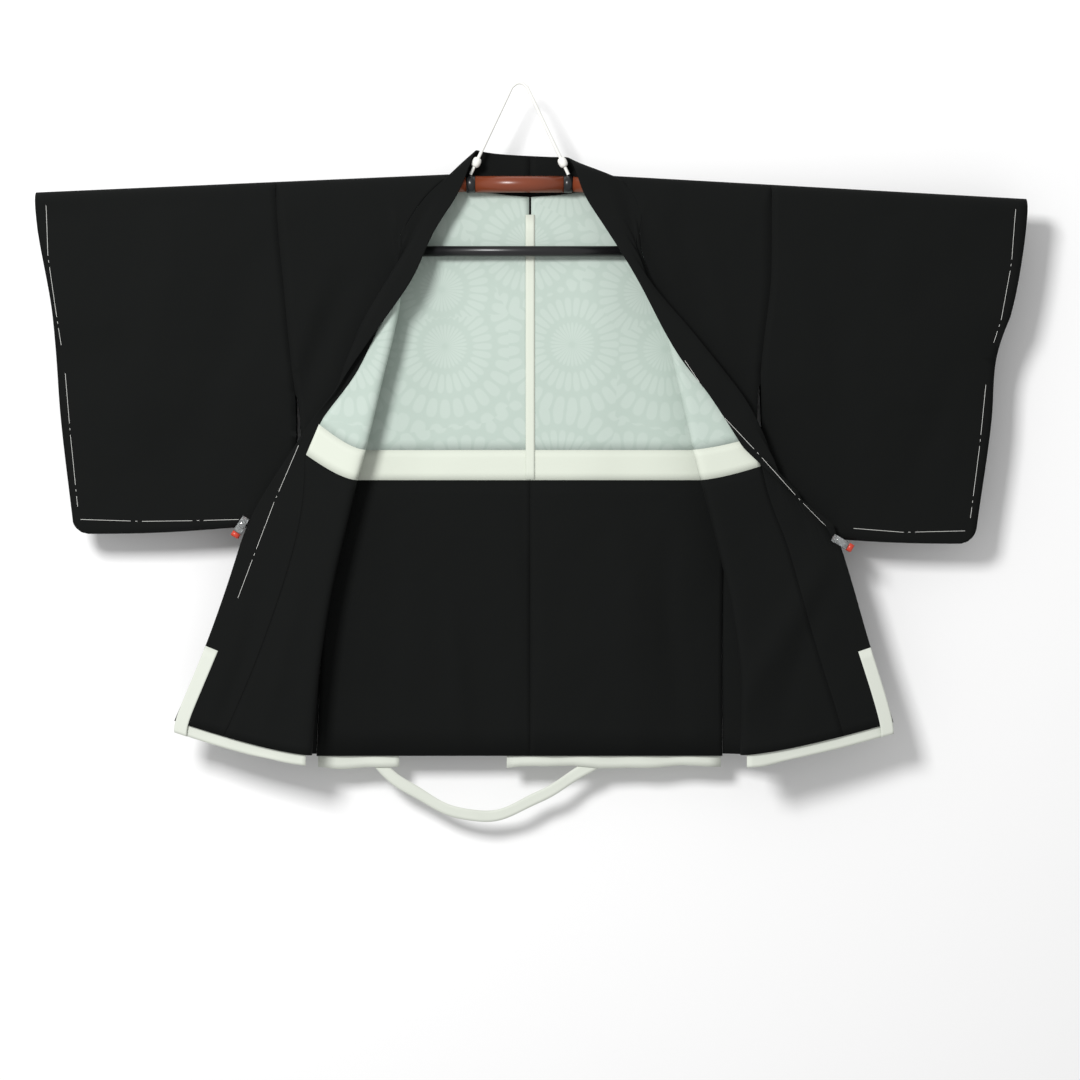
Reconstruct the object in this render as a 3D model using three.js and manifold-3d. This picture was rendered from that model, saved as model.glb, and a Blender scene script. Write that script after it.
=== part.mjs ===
// A women's haori jacket hung open on a kimono hanger, in millimetres, +Z up.
// The origin is the top of the hanging cord, where the hanger hangs. The wearer's side of the fronts faces -Y.
// Each cloth piece is a wall built on a grid of points on its outer face; what lies on it is moved off that grid.

import * as THREE from 'three';
import { mergeVertices } from 'three/addons/utils/BufferGeometryUtils.js';
import Module from 'manifold-3d';

const wasm = await Module();
wasm.setup();

// ---- Cloth ----
const GAP = 0.3; // between pieces that touch
const COLLAR_GAP = 1.3; // the body stands this far off the thicker collar, so that both can bend
const LINING_GAP = 0.9; // between the outer cloth and its lining
const SHELL = 1.2; // outer cloth
const FACED = 3.1; // outer cloth with its own turned-up facing
const COLLAR = 2.4; // doubled collar band
const LINING = 1;
const STRIP = 0.8; // guard strips and the centre strip

// ---- Hanger ----
const HANGER_X = -1; // middle of the hanger
const ROD_Z = -136;
const ROD_RADIUS = 11;
const TUBE_HALF = 58;
const RING_WIDTH = 11;
const RING_RADIUS = 11.5;
const ARM_START = TUBE_HALF + RING_WIDTH + 2 * GAP;
const ARM_LENGTH = 552;
const ARM_RADIUS = 10;
const CAP_LENGTH = 8;
const BAR_Z = -224;
const BAR_RADIUS = 7;
const LINK_OUT = 148;
const CORD_RADIUS = 2.2;

// ---- Garment ----
const CENTRE_X = 13; // centre-back seam
const WRAP_RADIUS = 15; // outer face of the cloth round the arms
const QUARTER = (WRAP_RADIUS * Math.PI) / 2; // girth from the top of the arm to its side
const NECK_BACK = -152; // neck seam at the centre back
const FACING_TOP = -525; // where the turned-up facing meets the lining
const BAND = 40; // off-white band along the lining's lower edge
const ARMHOLE_END = -385;
const HEM = -889;
const TURN_RADIUS = 6; // of the collar strip where it turns back
const FOLD_RADIUS = 6; // of the long fold in each front
const COLLAR_COLUMNS = 8;
const HEM_STRIP_DROP = 15;
const SLEEVE_COLUMNS = 4;

// Each side's sections, top to hem. z: height at the long fold. edge: x of the free collar edge; edgeY: its depth.
// lap: how far the collar strip lies turned back outwards; below zero it is turning the other way.
// collar: width of the collar band along the section. fold: x of the long fold; foldY: depth of its rear layer.
// side: x of the armhole or side seam; back: x of the gusset's back seam.
const LEFT = {
  name: 'left',
  out: -1,
  droop: 2.5,
  edgeRise: 44,
  sections: [
    { z: -136, edge: -71, edgeY: -16, lap: 24, collar: 42, fold: -150, foldY: -15, side: -320, sideY: -15, back: -320 },
    { z: -200, edge: -115, edgeY: -30, lap: 18, collar: 50, fold: -152, foldY: -15, side: -316, sideY: -15, back: -316 },
    { z: -260, edge: -139, edgeY: -38, lap: 29, collar: 63, fold: -155, foldY: -15, side: -310, sideY: -15, back: -310 },
    { z: -320, edge: -180, edgeY: -40, lap: 22, collar: 60, fold: -164, foldY: -16, side: -305, sideY: -15, back: -305 },
    { z: -385, edge: -216, edgeY: -38, lap: 8, collar: 40, fold: -180, foldY: -16, side: -298, sideY: -15, back: -298 },
    { z: -440, edge: -243, edgeY: -32, lap: -6, collar: 12, fold: -193, foldY: -16, side: -289, sideY: -15, back: -276 },
    { z: -485, edge: -272, edgeY: -24, lap: -19, collar: 8, fold: -204, foldY: -16, side: -287, sideY: -15, back: -266 },
    { z: -525, edge: -295, edgeY: -19, lap: -19, collar: 14, fold: -215, foldY: -16, side: -286, sideY: -15, back: -262 },
    { z: -572, edge: -327, edgeY: -13, lap: -19, collar: 45, fold: -226, foldY: -16, side: -285, sideY: -15, back: -260 },
    { z: -625, edge: -359, edgeY: -9, lap: -19, collar: 66, fold: -239, foldY: -17, side: -288, sideY: -15, back: -259 },
    { z: -680, edge: -375, edgeY: -11, lap: -19, collar: 66, fold: -251, foldY: -19, side: -299, sideY: -16, back: -260 },
    { z: -787, edge: -412, edgeY: -14, lap: -19, collar: 66, fold: -266, foldY: -22, side: -318, sideY: -18, back: -264 },
    { z: -885, edge: -453, edgeY: -16, lap: -19, collar: 66, fold: -274, foldY: -24, side: -338, sideY: -20, back: -269 },
  ],
};

const RIGHT = {
  name: 'right',
  out: 1,
  droop: 3.2,
  edgeRise: 42,
  sections: [
    { z: -136, edge: 73, edgeY: -16, lap: 50, collar: 72, fold: 150, foldY: -15, side: 329, sideY: -15, back: 329 },
    { z: -200, edge: 117, edgeY: -30, lap: 28, collar: 60, fold: 138, foldY: -15, side: 329, sideY: -15, back: 329 },
    { z: -260, edge: 153, edgeY: -38, lap: 9, collar: 58, fold: 157, foldY: -15, side: 328, sideY: -15, back: 328 },
    { z: -320, edge: 182, edgeY: -41, lap: 30, collar: 70, fold: 189, foldY: -16, side: 321, sideY: -15, back: 321 },
    { z: -385, edge: 212, edgeY: -41, lap: 46, collar: 72, fold: 205, foldY: -16, side: 314, sideY: -15, back: 314 },
    { z: -440, edge: 245, edgeY: -39, lap: 49, collar: 72, fold: 218, foldY: -16, side: 311, sideY: -15, back: 296 },
    { z: -485, edge: 268, edgeY: -36, lap: 45, collar: 70, fold: 228, foldY: -16, side: 310, sideY: -15, back: 284 },
    { z: -525, edge: 291, edgeY: -33, lap: 36, collar: 66, fold: 238, foldY: -16, side: 309, sideY: -15, back: 277 },
    { z: -572, edge: 341, edgeY: -27, lap: 16, collar: 66, fold: 251, foldY: -16, side: 308, sideY: -15, back: 270 },
    { z: -625, edge: 410, edgeY: -16, lap: -8, collar: 66, fold: 264, foldY: -17, side: 309, sideY: -15, back: 267 },
    { z: -680, edge: 429, edgeY: -12, lap: -19, collar: 66, fold: 277, foldY: -19, side: 313, sideY: -16, back: 266 },
    { z: -787, edge: 459, edgeY: -14, lap: -19, collar: 66, fold: 291, foldY: -22, side: 328, sideY: -18, back: 266 },
    { z: -878, edge: 489, edgeY: -16, lap: -19, collar: 66, fold: 290, foldY: -24, side: 346, sideY: -20, back: 267 },
  ],
};

// The neckline of each side, centre back to front: how far out of the centre the collar's seam and free edge are.
const NECK = {
  left: [
    { girth: 39.6, seam: 0, edge: 0, edgeY: 20, edgeZ: -97 },
    { girth: 37, seam: 38, edge: 34, edgeY: 19, edgeZ: -95 },
    { girth: 30, seam: 73, edge: 60, edgeY: 17, edgeZ: -92 },
    { girth: 20, seam: 87, edge: 68, edgeY: 12, edgeZ: -90 },
    { girth: 11, seam: 94, edge: 72, edgeY: 6, edgeZ: -90 },
    { girth: 2, seam: 99, edge: 75, edgeY: -2, edgeZ: -95 },
    { girth: -7, seam: 105, edge: 78, edgeY: -9, edgeZ: -104 },
    { girth: -17, seam: 113, edge: 81, edgeY: -14, edgeZ: -117 },
  ],
  right: [
    { girth: 39.6, seam: 0, edge: 0, edgeY: 20, edgeZ: -97 },
    { girth: 37, seam: 42, edge: 30, edgeY: 19, edgeZ: -98 },
    { girth: 30, seam: 76, edge: 44, edgeY: 17, edgeZ: -98 },
    { girth: 20, seam: 90, edge: 50, edgeY: 12, edgeZ: -99 },
    { girth: 11, seam: 97, edge: 53, edgeY: 6, edgeZ: -101 },
    { girth: 2, seam: 104, edge: 55, edgeY: -2, edgeZ: -106 },
    { girth: -7, seam: 112, edge: 58, edgeY: -9, edgeZ: -112 },
    { girth: -17, seam: 122, edge: 61, edgeY: -14, edgeZ: -121 },
  ],
};

// Heights of the body's cross rows below the arms.
const BACK_ROWS = [HEM, -740, -600, FACING_TOP - 0.6, FACING_TOP, FACING_TOP + BAND, -430, ARMHOLE_END, -320, -260, -200, -175];
const FRONT_ROWS = [
  -150, -175, -200, -230, -260, -290, -320, -352, ARMHOLE_END, -412, -440, FACING_TOP + BAND,
  FACING_TOP, FACING_TOP - 0.6, -572, -625, -680, -735, -787, -836, -885,
];

// ---- Small helpers ----

const clamp = (value) => Math.min(1, Math.max(0, value));
const mix = (a, b, t) => a + (b - a) * t;
const ease = (value) => clamp(value) ** 2 * (3 - 2 * clamp(value));

// A named column of a table of sections, read at any height with a smooth curve through its rows.
function column(sections, name, z) {
  const last = sections.length - 1;
  if (z >= sections[0].z) return sections[0][name];
  if (z <= sections[last].z) return sections[last][name];
  const i = sections.findIndex((row, k) => k < last && z > sections[k + 1].z);
  const slope = (k) => {
    const a = sections[Math.max(0, k - 1)];
    const b = sections[Math.min(last, k + 1)];
    return (b[name] - a[name]) / (b.z - a.z);
  };
  const [a, b] = [sections[i], sections[i + 1]];
  const span = b.z - a.z;
  const t = (z - a.z) / span;
  const bend = (slope(i) * span * (1 - t) - slope(i + 1) * span * t) * t * (1 - t);
  const lean = (b[name] - a[name]) * t * (1 - t) * (1 - 2 * t);
  return mix(a[name], b[name], t) + bend - lean;
}

// How far the arms' centre line has dropped at x.
function armDrop(side, x) {
  const past = Math.abs(x - HANGER_X) - ARM_START;
  return Math.max(0, past) * Math.tan(THREE.MathUtils.degToRad(side.droop));
}

// A point on the cloth round the arm: girth is 0 on top, positive down the back and negative down the front.
function roundArm(side, x, girth) {
  const centre = ROD_Z - armDrop(side, x);
  if (Math.abs(girth) <= QUARTER) {
    const angle = girth / WRAP_RADIUS;
    return new THREE.Vector3(x, WRAP_RADIUS * Math.sin(angle), centre + WRAP_RADIUS * Math.cos(angle));
  }
  return new THREE.Vector3(x, Math.sign(girth) * WRAP_RADIUS, centre - (Math.abs(girth) - QUARTER));
}

// A polyline with its running length, read at any length.
function track(points) {
  const lengths = [0];
  for (let i = 1; i < points.length; i++) lengths.push(lengths[i - 1] + points[i].distanceTo(points[i - 1]));
  const length = lengths.at(-1);
  const at = (s) => {
    const i = Math.min(points.length - 2, Math.max(0, lengths.findIndex((l) => l > s) - 1));
    const k = s >= length ? points.length - 2 : i;
    const t = (s - lengths[k]) / (lengths[k + 1] - lengths[k]);
    return points[k].clone().lerp(points[k + 1], t);
  };
  return { length, at, lengths };
}

// ---- Walls from grids ----

// Outward normals of a grid of points, from the directions of its rows and columns.
function normalsOf(grid, sign) {
  const rows = grid.length;
  return grid.map((row, i) =>
    row.map((_, j) => {
      const down = grid[Math.min(rows - 1, i + 1)][j].clone().sub(grid[Math.max(0, i - 1)][j]);
      const across = row[Math.min(row.length - 1, j + 1)].clone().sub(row[Math.max(0, j - 1)]);
      return down.cross(across).normalize().multiplyScalar(sign);
    }),
  );
}

// A closed wall between two depths under the grid's outer face; a depth is a number or a function of row and column.
function wall(grid, normals, from, to) {
  const rows = grid.length;
  const columns = grid[0].length;
  const depth = (d, i, j) => (typeof d === 'function' ? d(i, j) : d);
  const positions = [];
  for (const d of [from, to])
    for (let i = 0; i < rows; i++)
      for (let j = 0; j < columns; j++)
        positions.push(...grid[i][j].clone().addScaledVector(normals[i][j], -depth(d, i, j)).toArray());
  const index = [];
  const top = (i, j) => i * columns + j;
  const under = (i, j) => rows * columns + top(i, j);
  const quad = (a, b, c, d) => index.push(a, b, c, a, c, d);
  for (let i = 0; i < rows - 1; i++)
    for (let j = 0; j < columns - 1; j++) {
      quad(top(i, j), top(i + 1, j), top(i + 1, j + 1), top(i, j + 1));
      quad(under(i, j), under(i, j + 1), under(i + 1, j + 1), under(i + 1, j));
    }
  for (let i = 0; i < rows - 1; i++) {
    quad(top(i, 0), under(i, 0), under(i + 1, 0), top(i + 1, 0));
    quad(top(i, columns - 1), top(i + 1, columns - 1), under(i + 1, columns - 1), under(i, columns - 1));
  }
  for (let j = 0; j < columns - 1; j++) {
    quad(top(0, j), top(0, j + 1), under(0, j + 1), under(0, j));
    quad(top(rows - 1, j), under(rows - 1, j), under(rows - 1, j + 1), top(rows - 1, j + 1));
  }
  return closed(positions, index);
}

// A geometry with its faces pointing out, whichever way its triangles were given.
function closed(positions, index) {
  const p = (k) => new THREE.Vector3().fromArray(positions, 3 * k);
  let volume = 0;
  for (let k = 0; k < index.length; k += 3) volume += p(index[k]).dot(p(index[k + 1]).cross(p(index[k + 2])));
  if (volume < 0) index.reverse();
  const geometry = new THREE.BufferGeometry();
  geometry.setAttribute('position', new THREE.Float32BufferAttribute(positions, 3));
  geometry.setIndex(index);
  return geometry;
}

// The same rows with one end moved towards its neighbour, for the gap at a seam.
function shortened(grid, atStart, distance = GAP) {
  const copy = grid.slice();
  const [end, next] = atStart ? [0, 1] : [grid.length - 1, grid.length - 2];
  copy[end] = grid[end].map((p, j) => p.clone().lerp(grid[next][j], distance / p.distanceTo(grid[next][j])));
  return copy;
}

const part = (grid, first, last) => grid.map((row) => row.slice(first, last));

// The same grid with its first column moved towards the second.
const narrowed = (grid, distance) =>
  grid.map((row) => [row[0].clone().lerp(row[1], distance / row[0].distanceTo(row[1])), ...row.slice(1)]);

// ---- Solids and cuts ----

function solid(geometry) {
  const bare = geometry.clone();
  bare.deleteAttribute('normal');
  bare.deleteAttribute('uv');
  const merged = mergeVertices(bare, 1e-4);
  return new wasm.Manifold(
    new wasm.Mesh({
      numProp: 3,
      vertProperties: merged.attributes.position.array,
      triVerts: new Uint32Array(merged.index.array),
    }),
  );
}

function geometryOf(manifold) {
  const mesh = manifold.getMesh();
  const geometry = new THREE.BufferGeometry();
  geometry.setAttribute('position', new THREE.Float32BufferAttribute(mesh.vertProperties, 3));
  geometry.setIndex(Array.from(mesh.triVerts));
  return geometry;
}

// ---- The fronts: each section runs from the free collar edge, round its folds, to the armhole or side seam ----

const rise = (side, z) => side.edgeRise * ease((-300 - z) / (-300 - FACING_TOP));
const foldedShare = (z) => ease((-140 - z) / 130);

function foldedSection(side, z) {
  const read = (name, height = z) => column(side.sections, name, height);
  const out = side.out;
  const [lap, edge, edgeY] = [read('lap'), read('edge'), read('edgeY')];
  const round = Math.min(Math.PI, Math.max(0, -lap) / TURN_RADIUS);
  const turnX = edge + out * (Math.max(0, lap) - TURN_RADIUS * Math.sin(round));
  const turnY = edgeY - TURN_RADIUS * (1 - Math.cos(round));
  const points = [];
  if (lap > 0) points.push(new THREE.Vector3(edge, edgeY, 0));
  const steps = 8;
  for (let k = 0; k <= steps; k++) {
    const angle = mix(round, Math.PI, k / steps);
    if (round === Math.PI && k > 0) break;
    const x = turnX + out * TURN_RADIUS * Math.sin(angle);
    points.push(new THREE.Vector3(x, turnY + TURN_RADIUS * (1 - Math.cos(angle)), 0));
  }
  const foldX = read('fold') + out * FOLD_RADIUS;
  const frontY = read('foldY') - 2 * FOLD_RADIUS;
  const foldStart = points.length;
  for (let k = 0; k <= steps; k++) {
    const angle = (Math.PI * k) / steps;
    const x = foldX - out * FOLD_RADIUS * Math.sin(angle);
    points.push(new THREE.Vector3(x, frontY + FOLD_RADIUS * (1 - Math.cos(angle)), 0));
  }
  points.push(new THREE.Vector3(read('side'), read('sideY'), 0));
  const path = track(points);
  return { ...path, foldStart: path.lengths[foldStart], foldEnd: path.lengths[foldStart + steps] };
}

// One row of the front: columns of the collar band, then of the body from its collar seam to the side.
function frontRow(side, z) {
  const folded = foldedSection(side, z);
  const share = foldedShare(z);
  const read = (name) => column(side.sections, name, z);
  const flat = track([
    new THREE.Vector3(read('edge'), -WRAP_RADIUS, 0),
    new THREE.Vector3(read('side'), -WRAP_RADIUS, 0),
  ]);
  const length = mix(flat.length, folded.length, share);
  const seam = read('collar') / length;
  const fold = [folded.foldStart / folded.length, folded.foldEnd / folded.length];
  const stops = [];
  for (let k = 0; k <= COLLAR_COLUMNS; k++) stops.push((seam * k) / COLLAR_COLUMNS);
  const spans = [
    [seam + COLLAR_GAP / length, Math.max(fold[0], seam + 6 / length), 4],
    [Math.max(fold[0], seam + 6 / length), Math.max(fold[1], seam + 12 / length), 4],
    [Math.max(fold[1], seam + 12 / length), 1, 3],
  ];
  for (const [start, end, count] of spans)
    for (let k = start === spans[0][0] ? 0 : 1; k <= count; k++) stops.push(mix(start, end, k / count));
  const top = side.sections[0].z;
  return stops.map((stop) => {
    const point = flat.at(stop * flat.length).lerp(folded.at(stop * folded.length), share);
    const lifted = rise(side, z) * clamp(1 - stop / fold[0]) ** 1.3;
    const dropped = armDrop(side, point.x) * (1 - ease((top - z) / (top - ARMHOLE_END)));
    return point.setZ(z + lifted - dropped);
  });
}

const BODY_FIRST = COLLAR_COLUMNS + 1;
const BODY_COLUMNS = 12;
const FOLD_COLUMN = BODY_FIRST + 4;

// Moves the outer column in by half a seam gap, so that the sleeve and gusset can meet it.
function trimmedSide(side, row) {
  const last = row.length - 1;
  row[last] = row[last].clone().lerp(row[last - 1], GAP / 2 / row[last].distanceTo(row[last - 1]));
  return row;
}

function makeFront(side) {
  const grid = FRONT_ROWS.map((z) => trimmedSide(side, frontRow(side, Math.max(z, side.sections.at(-1).z - 7))));
  return { grid, normals: normalsOf(grid, side.out) };
}

// ---- The back and the shoulder ----

const backDepth = (z) => WRAP_RADIUS + 2 * clamp((-400 - z) / 400);

function straightRow(from, to) {
  const row = [];
  for (let k = 0; k < BODY_COLUMNS; k++) row.push(from.clone().lerp(to, k / (BODY_COLUMNS - 1)));
  return row;
}

function backRow(side, z) {
  const outer = column(side.sections, 'back', z) - (side.out * GAP) / 2;
  const point = (x) => {
    const dropped = armDrop(side, x) * (1 - ease((ROD_Z - z) / (ROD_Z - ARMHOLE_END)));
    return new THREE.Vector3(x, backDepth(z), z - dropped);
  };
  const inner = CENTRE_X + (side.out * GAP) / 2;
  return straightRow(point(inner), point(outer)).map((p) => point(p.x));
}

function shoulderRow(side, neck) {
  const inner = CENTRE_X + side.out * (neck.seam + (neck.seam > 0 ? COLLAR_GAP : GAP / 2));
  const outer = side.sections[0].side - (side.out * GAP) / 2;
  const row = [];
  for (let k = 0; k < BODY_COLUMNS; k++)
    row.push(roundArm(side, mix(inner, outer, k / (BODY_COLUMNS - 1)), neck.girth));
  return row;
}

function makeBody(side, front) {
  const back = BACK_ROWS.map((z) => backRow(side, z));
  const shoulder = NECK[side.name].map((neck) => shoulderRow(side, neck));
  const frontPart = part(front.grid, BODY_FIRST);
  const grid = [...back, ...shoulder, ...frontPart];
  const normals = normalsOf(grid, side.out);
  const firstFront = back.length + shoulder.length;
  part(front.normals, BODY_FIRST).forEach((row, i) => {
    if (i > 0) normals[firstFront + i] = row;
  });
  return { grid, normals, firstFront };
}

// ---- The collar: round the neck from the centre back, then down the free edge to the hem ----

const NECK_COLUMNS_BULGE = 3; // how far the standing band swells outwards

function neckRow(side, neck) {
  const seam = roundArm(side, CENTRE_X + side.out * Math.max(neck.seam, GAP / 2), neck.girth);
  seam.z += neck.girth > QUARTER ? GAP : 0;
  const edge = new THREE.Vector3(CENTRE_X + side.out * Math.max(neck.edge, GAP / 2), neck.edgeY, neck.edgeZ);
  const outward = new THREE.Vector3(side.out * clamp(neck.seam / 90), clamp(neck.girth / QUARTER), 0.4);
  const row = [];
  for (let k = 0; k <= COLLAR_COLUMNS; k++) {
    const t = k / COLLAR_COLUMNS;
    const swell = NECK_COLUMNS_BULGE * Math.sin(Math.PI * t) * clamp(neck.seam / 60);
    row.push(edge.clone().lerp(seam, t).addScaledVector(outward, swell));
  }
  return row;
}

function makeCollar(side, front) {
  const neckRows = NECK[side.name].map((neck) => neckRow(side, neck));
  const grid = [...neckRows, ...part(front.grid, 0, BODY_FIRST)];
  const normals = normalsOf(grid, side.out);
  part(front.normals, 0, BODY_FIRST).forEach((row, i) => {
    if (i > 0) normals[neckRows.length + i] = row;
  });
  return { grid, normals };
}

// ---- The gusset between the side seam and the back seam ----

function makeGusset(side) {
  const rows = [ARMHOLE_END - 14, -412, -440, -485, -525, -572, -625, -680, -787, -886];
  const across = 3;
  const behindFront = FACED + SHELL + 2 * GAP;
  const outOfBack = side.out * (SHELL + 4 * GAP);
  return rows.map((z) => {
    const read = (name) => column(side.sections, name, z);
    const front = new THREE.Vector3(read('side'), read('sideY') + behindFront, z);
    const back = new THREE.Vector3(read('back') + outOfBack, backDepth(z) - 2 * GAP, z);
    const row = [];
    for (let k = 0; k <= across; k++) row.push(front.clone().lerp(back, k / across));
    return row;
  });
}

// ---- Sleeves: a flat bag round the arm, open at the wrist and on its inner side ----

const SLEEVE = {
  left: {
    cuff: [
      { z: -136, x: -636 }, { z: -190, x: -634 }, { z: -300, x: -614 }, { z: -365, x: -609 },
      { z: -450, x: -603 }, { z: -590, x: -586 },
    ],
    openSide: [{ z: -412, x: -294.5 }, { z: -440, x: -293 }, { z: -490, x: -293 }, { z: -540, x: -294 }],
    bottomIn: -583,
    bottomOut: -596,
    wristEnd: -365,
  },
  right: {
    cuff: [
      { z: -136, x: 664 }, { z: -190, x: 664 }, { z: -300, x: 646 }, { z: -360, x: 625 },
      { z: -450, x: 619 }, { z: -600, x: 597 },
    ],
    openSide: [{ z: -412, x: 315 }, { z: -440, x: 316 }, { z: -490, x: 317 }, { z: -540, x: 318 }],
    bottomIn: -597,
    bottomOut: -609,
    wristEnd: -361,
  },
};
const SLEEVE_DEPTH_BOTTOM = 4.5;
const WRIST_DEPTH = 11; // half the open wrist
const SEWN_DEPTH = 2.6; // half the cuff below the wrist opening
const CUFF_FADE = 45; // over which the wrist narrows to the sewn edge, going down
const CUFF_SHARE = 0.2; // of the sleeve's width, over which it narrows to the cuff

// Half the sleeve's thickness: round the arm on top, then slimmer to the bottom, and pinched at the sewn cuff edge.
function sleeveDepth(shape, along, z) {
  const hanging = mix(WRAP_RADIUS, SLEEVE_DEPTH_BOTTOM, ease((ARMHOLE_END - z) / 180));
  const cuff = mix(WRIST_DEPTH, SEWN_DEPTH, clamp((shape.wristEnd + CUFF_FADE - z) / CUFF_FADE));
  return Math.min(hanging, mix(hanging, cuff, ease((along - 1 + CUFF_SHARE) / CUFF_SHARE)));
}

// The sleeve's body-side edge from the arm down: along the armhole, then along the open side.
function sleeveEdge(side, shape) {
  const armhole = FRONT_ROWS.filter((z) => z >= ARMHOLE_END).map((z) => {
    const x = column(side.sections, 'side', z);
    const top = side.sections[0].z;
    return { x, z: z - armDrop(side, x) * (1 - ease((top - z) / (top - ARMHOLE_END))) };
  });
  const low = { x: shape.openSide.at(-1).x, z: shape.bottomIn + 3 };
  return [...armhole, ...shape.openSide, low];
}

// The closed form of the sleeve, or of the space inside it when inset by the cloth.
function sleeveForm(side, shape, { start, end, inset, low = -Infinity }) {
  const edge = sleeveEdge(side, shape);
  const armX = side.sections[0].side;
  const centreIn = ROD_Z - armDrop(side, armX);
  const radius = WRAP_RADIUS - inset;
  const stations = [];
  for (let i = 0; i <= SLEEVE_COLUMNS; i++) {
    const along = mix(start, end, i / SLEEVE_COLUMNS);
    const spot = (inner, z) => mix(inner, column(shape.cuff, 'x', z), along) + side.out * 3 * GAP;
    const centre = ROD_Z - armDrop(side, spot(armX, ROD_Z));
    const bottom = Math.max(low, mix(shape.bottomIn, shape.bottomOut, ease(along * 1.4)) + inset);
    const half = [0, 35, 65, 90].map((degrees) => {
      const angle = THREE.MathUtils.degToRad(degrees);
      const z = centre + radius * Math.cos(angle);
      return { x: spot(armX, z), y: radius * Math.sin(angle), z };
    });
    for (const level of edge) {
      const share = (centreIn - level.z) / (centreIn - shape.bottomIn);
      const z = mix(centre, bottom, share);
      half.push({ x: spot(level.x, z), y: Math.max(0.6, sleeveDepth(shape, clamp(along), z) - inset), z });
    }
    half.push({ x: spot(edge.at(-1).x, bottom), y: 0, z: bottom });
    stations.push(half);
  }
  const count = stations[0].length;
  const loop = 2 * count - 2;
  const positions = [];
  for (const half of stations) {
    for (const p of half) positions.push(p.x, -p.y, p.z);
    for (const p of half.slice(1, -1).reverse()) positions.push(p.x, p.y, p.z);
  }
  const index = [];
  for (let i = 0; i < stations.length - 1; i++)
    for (let k = 0; k < loop; k++) {
      const [a, b] = [i * loop + k, i * loop + ((k + 1) % loop)];
      index.push(a, b, b + loop, a, b + loop, a + loop);
    }
  for (const [base, flip] of [[0, false], [(stations.length - 1) * loop, true]])
    for (let k = 0; k < count - 1; k++) {
      const front = [base + k, base + k + 1];
      const back = [base + ((loop - k) % loop), base + ((loop - k - 1) % loop)];
      const faces = [[front[0], back[1], front[1]], [front[0], back[0], back[1]]];
      for (const [a, b, c] of faces) {
        if (a === b || b === c || a === c) continue;
        index.push(...(flip ? [a, c, b] : [a, b, c]));
      }
    }
  return closed(positions, index);
}

function sleeveGeometry(side) {
  const shape = SLEEVE[side.name];
  const outer = solid(sleeveForm(side, shape, { start: 0, end: 1, inset: 0 }));
  const inside = solid(sleeveForm(side, shape, { start: -0.05, end: 0.992, inset: SHELL }));
  const wrist = solid(sleeveForm(side, shape, { start: 0.96, end: 1.04, inset: SHELL, low: shape.wristEnd }));
  return geometryOf(outer.subtract(inside).subtract(wrist));
}

// ---- Guard strips ----

// Rows that start a little above the hem and hang below it.
function hemRows(grid, drop) {
  const [above, hem] = grid.slice(-2);
  const start = above.map((p, j) => p.clone().lerp(hem[j], 0.6));
  const end = hem.map((p) => p.clone().setZ(p.z - drop));
  return [start, hem, end];
}

function straightStrip(fromX, toX, z, y, height) {
  const columns = 5;
  return [0, height].map((fall) => {
    const row = [];
    for (let k = 0; k < columns; k++) row.push(new THREE.Vector3(mix(fromX, toX, k / (columns - 1)), y, z - fall));
    return row;
  });
}

const LOOP = [
  { x: -196, z: -889 }, { x: -171, z: -916 }, { x: -142, z: -937 }, { x: -105, z: -957 }, { x: -55, z: -968 },
  { x: -16, z: -962 }, { x: 24, z: -945 }, { x: 59, z: -925 }, { x: 112, z: -889 },
];
const LOOP_WIDTH = 15;
const LOOP_Y = 20;

function loopRows() {
  const curve = new THREE.CatmullRomCurve3(LOOP.map((p) => new THREE.Vector3(p.x, LOOP_Y, p.z)));
  const steps = 22;
  const rows = [[], []];
  for (let k = 0; k <= steps; k++) {
    const point = curve.getPointAt(k / steps);
    const along = curve.getTangentAt(k / steps);
    const across = new THREE.Vector3(-along.z, 0, along.x).multiplyScalar(LOOP_WIDTH / 2);
    rows[0].push(point.clone().add(across));
    rows[1].push(point.clone().sub(across));
  }
  return rows;
}

// ---- Clips: a clear jaw folded round both cloths, with a coloured pad at its tail ----

const CLIP = { length: 27, width: 10, wall: 1.2, tail: 7 };
const CLIPS = {
  left: { x: -361, z: -577, turn: -123, front: -13, back: 6 },
  right: { x: 412, z: -602, turn: -30, front: -21, back: 6 },
};

function clipParts({ x, z, turn, front, back }) {
  const half = CLIP.width / 2;
  const tailStart = CLIP.length - CLIP.tail;
  const outline = new THREE.Shape();
  const nose = 3;
  outline.moveTo(-nose, front - CLIP.wall);
  outline.lineTo(tailStart, front - CLIP.wall);
  outline.lineTo(tailStart, back + CLIP.wall);
  outline.lineTo(-nose, back + CLIP.wall);
  outline.lineTo(-nose, back);
  outline.lineTo(tailStart - CLIP.wall, back);
  outline.lineTo(tailStart - CLIP.wall, front);
  outline.lineTo(-nose, front);
  outline.closePath();
  const jaw = new THREE.ExtrudeGeometry(outline, { depth: CLIP.width, bevelEnabled: false });
  jaw.translate(0, 0, -half);
  const depth = back - front;
  const tail = new THREE.BoxGeometry(CLIP.tail - GAP, depth + 2 * CLIP.wall, CLIP.width);
  tail.translate(tailStart + GAP + (CLIP.tail - GAP) / 2, front + depth / 2, 0);
  for (const piece of [jaw, tail]) {
    piece.rotateY(-THREE.MathUtils.degToRad(turn));
    piece.translate(x, 0, z);
  }
  return { jaw, tail };
}

// ---- Hanger ----

function rodAlongX(radius, length) {
  return new THREE.CylinderGeometry(radius, radius, length, 24).rotateZ(Math.PI / 2);
}

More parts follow.
